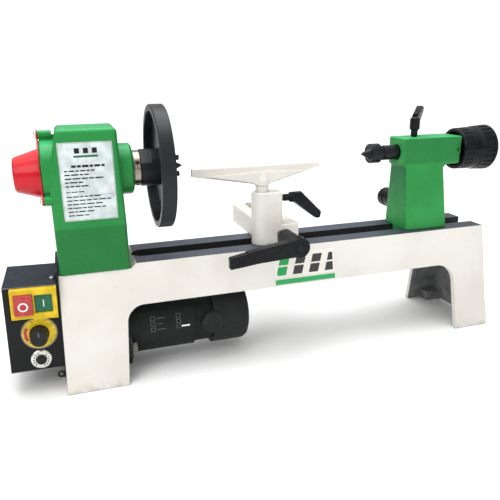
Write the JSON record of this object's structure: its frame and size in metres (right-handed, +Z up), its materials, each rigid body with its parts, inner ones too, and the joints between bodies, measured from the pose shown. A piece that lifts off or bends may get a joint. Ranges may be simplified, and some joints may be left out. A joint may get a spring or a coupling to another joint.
{
  "type": "wood lathe",
  "caption": "Small bench wood lathe with a cast bed, belt-driven headstock and faceplate, swivelling tool rest and a tailstock with a live centre.",
  "frame": {"origin": "on the bench plane, at the centre of the four bench bolt holes, under the spindle axis and half way along the bed", "axes": "+X along the bed from the headstock to the tailstock, +Y to the back, +Z up"},
  "size_m": [0.6358, 0.2125, 0.3096],
  "materials": {
    "cream_paint": "satin",
    "green_paint": "satin",
    "red_paint": "gloss",
    "black_paint": "satin",
    "black_plastic": "satin",
    "black_steel": "oiled",
    "steel": "satin",
    "zinc": "satin",
    "iron": "rough",
    "aluminium": "satin",
    "rubber": "matt",
    "yellow_plastic": "gloss",
    "red_plastic": "gloss",
    "green_plastic": "gloss",
    "dial_print": "printed foil",
    "label_print": "printed foil",
    "decal_print": "printed film",
    "grey_plastic": "matt",
    "circuit_board": "matt"
  },
  "bodies": {
    "frame": {"bed": "cream_paint", "bed_decal": "decal_print", "headstock_casting": "green_paint", "headstock_bolts": "zinc", "headstock_label": "label_print", "cone_cover": "red_paint", "cone_cover_screws": "zinc", "belt_cover": "green_paint", "belt_cover_screws": "zinc", "bearing_outer_rings": "steel", "motor_body": "black_paint", "motor_end_cap": "black_plastic", "motor_plate": "black_paint", "motor_screws": "zinc", "motor_plate_bolts": "zinc", "drive_belt": "rubber", "control_plate": "black_paint", "control_box": "black_paint", "control_screws": "zinc", "switch_housing": "yellow_plastic", "dial_plate": "dial_print", "potentiometer": "grey_plastic", "breaker": "grey_plastic", "control_board": "circuit_board"},
    "spindle": {"spindle": "steel", "bearing_inner_rings": "steel", "bearing_balls": "steel", "spindle_pulley": "aluminium", "spindle_nut": "black_steel", "faceplate": "black_steel", "spur_centre": "black_steel"},
    "motor_rotor": {"motor_shaft": "steel", "motor_pulley": "aluminium"},
    "stop_button": {"stop_button": "red_plastic"},
    "start_button": {"start_button": "green_plastic"},
    "speed_knob": {"speed_knob": "black_plastic", "pot_shaft": "steel"},
    "reset_button": {"reset_button": "black_plastic"},
    "banjo_carriage": {"clamp_plate": "iron"},
    "banjo_bolt": {"clamp_bolt": "steel", "clamp_nut": "zinc"},
    "banjo": {"banjo_casting": "cream_paint", "rest_lock_stud": "steel"},
    "banjo_cam": {"cam_shaft": "steel", "cam_lever": "black_paint"},
    "rest_post": {"rest_post": "cream_paint"},
    "tool_rest": {"rest_bar": "cream_paint"},
    "rest_lock": {"rest_lock_lever": "black_plastic"},
    "tailstock": {"tailstock_casting": "green_paint", "tail_clamp_bolt": "steel", "tail_clamp_plate": "iron", "tail_clamp_nut": "zinc"},
    "tail_cam": {"tail_cam_shaft": "steel", "tail_cam_lever": "black_paint"},
    "handwheel": {"handwheel": "black_plastic", "lead_screw": "steel"},
    "quill": {"quill": "black_steel", "live_centre_body": "black_steel"},
    "live_centre_head": {"live_centre_head": "black_steel"},
    "quill_lock": {"quill_lock_lever": "black_plastic"}
  },
  "joints": [
    {"name": "spindle_turn", "type": "hinge", "parent": "frame", "child": "spindle", "pos_m": [-0.198, 0, 0.2396], "axis": [1, 0, 0], "continuous": true},
    {"name": "motor_turn", "type": "hinge", "parent": "frame", "child": "motor_rotor", "pos_m": [-0.198, 0, 0.05], "axis": [1, 0, 0], "continuous": true},
    {"name": "stop_press", "type": "slide", "parent": "frame", "child": "stop_button", "axis": [0, 1, 0], "range_m": [0, 0.003], "stiffness_N_per_m": 400},
    {"name": "start_press", "type": "slide", "parent": "frame", "child": "start_button", "axis": [0, 1, 0], "range_m": [0, 0.003], "stiffness_N_per_m": 400},
    {"name": "speed_turn", "type": "hinge", "parent": "frame", "child": "speed_knob", "pos_m": [-0.30443, -0.05, 0.07174], "axis": [0, 1, 0], "range_deg": [-135, 135]},
    {"name": "reset_press", "type": "slide", "parent": "frame", "child": "reset_button", "axis": [0, 1, 0], "range_m": [-0.003, 0.001], "stiffness_N_per_m": 300},
    {"name": "banjo_slide", "type": "slide", "parent": "frame", "child": "banjo_carriage", "axis": [1, 0, 0], "range_m": [-0.005, 0.06]},
    {"name": "banjo_swivel", "type": "hinge", "parent": "banjo_carriage", "child": "banjo_bolt", "pos_m": [-0.014, 0, 0.138], "axis": [0, 0, 1], "range_deg": [-20, 40]},
    {"name": "banjo_cross_slide", "type": "slide", "parent": "banjo_bolt", "child": "banjo", "axis": [0, 1, 0], "range_m": [-0.09, 0]},
    {"name": "banjo_cam_turn", "type": "hinge", "parent": "banjo", "child": "banjo_cam", "pos_m": [-0.014, -0.05, 0.151], "axis": [0, 1, 0], "range_deg": [-60, 60]},
    {"name": "rest_height", "type": "slide", "parent": "banjo", "child": "rest_post", "axis": [0, 0, 1], "range_m": [-0.006, 0.025]},
    {"name": "rest_swivel", "type": "hinge", "parent": "rest_post", "child": "tool_rest", "pos_m": [-0.0345, -0.013, 0.22], "axis": [0, 0, 1], "range_deg": [-75, 75]},
    {"name": "rest_lock_turn", "type": "hinge", "parent": "banjo", "child": "rest_lock", "pos_m": [-0.003, -0.013, 0.194], "axis": [1, 0, 0], "range_deg": [-90, 60]},
    {"name": "tailstock_slide", "type": "slide", "parent": "frame", "child": "tailstock", "axis": [1, 0, 0], "range_m": [-0.03, 0.05]},
    {"name": "tail_cam_turn", "type": "hinge", "parent": "tailstock", "child": "tail_cam", "pos_m": [0.195, 0.05, 0.1615], "axis": [0, 1, 0], "range_deg": [-60, 60]},
    {"name": "handwheel_turn", "type": "hinge", "parent": "tailstock", "child": "handwheel", "pos_m": [0.282, 0, 0.2396], "axis": [1, 0, 0], "range_deg": [-4032, 1080]},
    {"name": "quill_slide", "type": "slide", "parent": "tailstock", "child": "quill", "axis": [1, 0, 0], "range_m": [-0.0281, 0.0081]},
    {"name": "live_centre_turn", "type": "hinge", "parent": "quill", "child": "live_centre_head", "pos_m": [0.122, 0, 0.2396], "axis": [1, 0, 0], "continuous": true},
    {"name": "quill_lock_turn", "type": "hinge", "parent": "tailstock", "child": "quill_lock", "pos_m": [0.183, 0, 0.262], "axis": [0, 0, 1], "range_deg": [-80, 80]}
  ],
  "couplings": [
    {"joint": "motor_turn", "follows": "spindle_turn", "ratio": 2},
    {"joint": "quill_slide", "follows": "handwheel_turn", "m_per_rad": 0.00039789}
  ]
}
